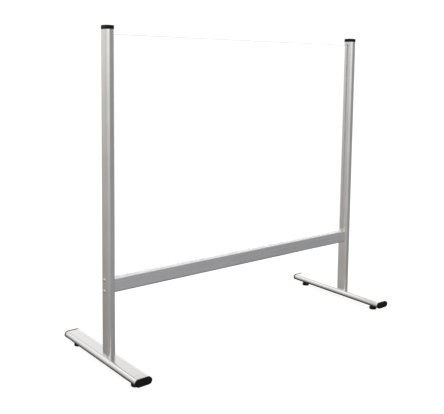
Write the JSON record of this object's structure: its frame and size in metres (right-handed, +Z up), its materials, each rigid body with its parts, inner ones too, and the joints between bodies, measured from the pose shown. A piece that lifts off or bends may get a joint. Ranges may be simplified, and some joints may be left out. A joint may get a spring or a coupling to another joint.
{
  "type": "sneeze guard",
  "caption": "Free-standing counter screen: clear panel between two silver aluminium uprights on long levelled feet, with a cross rail and a pass-through gap below it.",
  "frame": {"origin": "on the counter, under the middle of the feet, halfway between the uprights", "axes": "+X along the width towards the right-hand upright seen from the front, +Y from the front to the back, +Z up"},
  "size_m": [1.0246, 0.42, 0.95],
  "materials": {
    "anodised_aluminium": "satin silver anodised extrusion",
    "black_moulding": "fine-grained black moulding",
    "zinc_steel": "bright zinc-plated steel",
    "clear_panel": "clear cast acrylic sheet with polished edges",
    "grey_gasket": "soft grey glazing gasket",
    "clear_strip": "clear flexible edging"
  },
  "bodies": {
    "screen_frame": {"left_upright": "anodised_aluminium", "right_upright": "anodised_aluminium", "left_top_cap": "black_moulding", "right_top_cap": "black_moulding", "cross_rail": "anodised_aluminium", "left_rail_bolts": "zinc_steel", "right_rail_bolts": "zinc_steel", "clear_panel": "clear_panel", "left_panel_gasket": "grey_gasket", "right_panel_gasket": "grey_gasket", "panel_edge_strip": "clear_strip", "left_foot": "anodised_aluminium", "right_foot": "anodised_aluminium", "left_foot_front_cap": "black_moulding", "left_foot_rear_cap": "black_moulding", "right_foot_front_cap": "black_moulding", "right_foot_rear_cap": "black_moulding", "left_foot_bolts": "zinc_steel", "right_foot_bolts": "zinc_steel", "left_foot_washers": "zinc_steel", "right_foot_washers": "zinc_steel", "left_leveller_inserts": "zinc_steel", "right_leveller_inserts": "zinc_steel"},
    "left_front_leveller_pad": {"left_front_leveller_pad": "black_moulding"},
    "left_front_leveller_stud": {"left_front_leveller_stud": "zinc_steel"},
    "left_rear_leveller_pad": {"left_rear_leveller_pad": "black_moulding"},
    "left_rear_leveller_stud": {"left_rear_leveller_stud": "zinc_steel"},
    "right_front_leveller_pad": {"right_front_leveller_pad": "black_moulding"},
    "right_front_leveller_stud": {"right_front_leveller_stud": "zinc_steel"},
    "right_rear_leveller_pad": {"right_rear_leveller_pad": "black_moulding"},
    "right_rear_leveller_stud": {"right_rear_leveller_stud": "zinc_steel"}
  },
  "joints": [
    {"name": "left_front_leveller_travel", "type": "slide", "parent": "screen_frame", "child": "left_front_leveller_pad", "axis": [0, 0, -1], "range_m": [0, 0.00875]},
    {"name": "left_front_leveller_turn", "type": "hinge", "parent": "left_front_leveller_pad", "child": "left_front_leveller_stud", "pos_m": [-0.487, -0.165, 0.018], "axis": [0, 0, -1], "range_deg": [0, 2520]},
    {"name": "left_rear_leveller_travel", "type": "slide", "parent": "screen_frame", "child": "left_rear_leveller_pad", "axis": [0, 0, -1], "range_m": [0, 0.00875]},
    {"name": "left_rear_leveller_turn", "type": "hinge", "parent": "left_rear_leveller_pad", "child": "left_rear_leveller_stud", "pos_m": [-0.487, 0.165, 0.018], "axis": [0, 0, -1], "range_deg": [0, 2520]},
    {"name": "right_front_leveller_travel", "type": "slide", "parent": "screen_frame", "child": "right_front_leveller_pad", "axis": [0, 0, -1], "range_m": [0, 0.00875]},
    {"name": "right_front_leveller_turn", "type": "hinge", "parent": "right_front_leveller_pad", "child": "right_front_leveller_stud", "pos_m": [0.487, -0.165, 0.018], "axis": [0, 0, -1], "range_deg": [0, 2520]},
    {"name": "right_rear_leveller_travel", "type": "slide", "parent": "screen_frame", "child": "right_rear_leveller_pad", "axis": [0, 0, -1], "range_m": [0, 0.00875]},
    {"name": "right_rear_leveller_turn", "type": "hinge", "parent": "right_rear_leveller_pad", "child": "right_rear_leveller_stud", "pos_m": [0.487, 0.165, 0.018], "axis": [0, 0, -1], "range_deg": [0, 2520]}
  ],
  "couplings": [
    {"joint": "left_front_leveller_turn", "follows": "left_front_leveller_travel", "rad_per_m": 5026.5},
    {"joint": "left_rear_leveller_turn", "follows": "left_rear_leveller_travel", "rad_per_m": 5026.5},
    {"joint": "right_front_leveller_turn", "follows": "right_front_leveller_travel", "rad_per_m": 5026.5},
    {"joint": "right_rear_leveller_turn", "follows": "right_rear_leveller_travel", "rad_per_m": 5026.5}
  ]
}
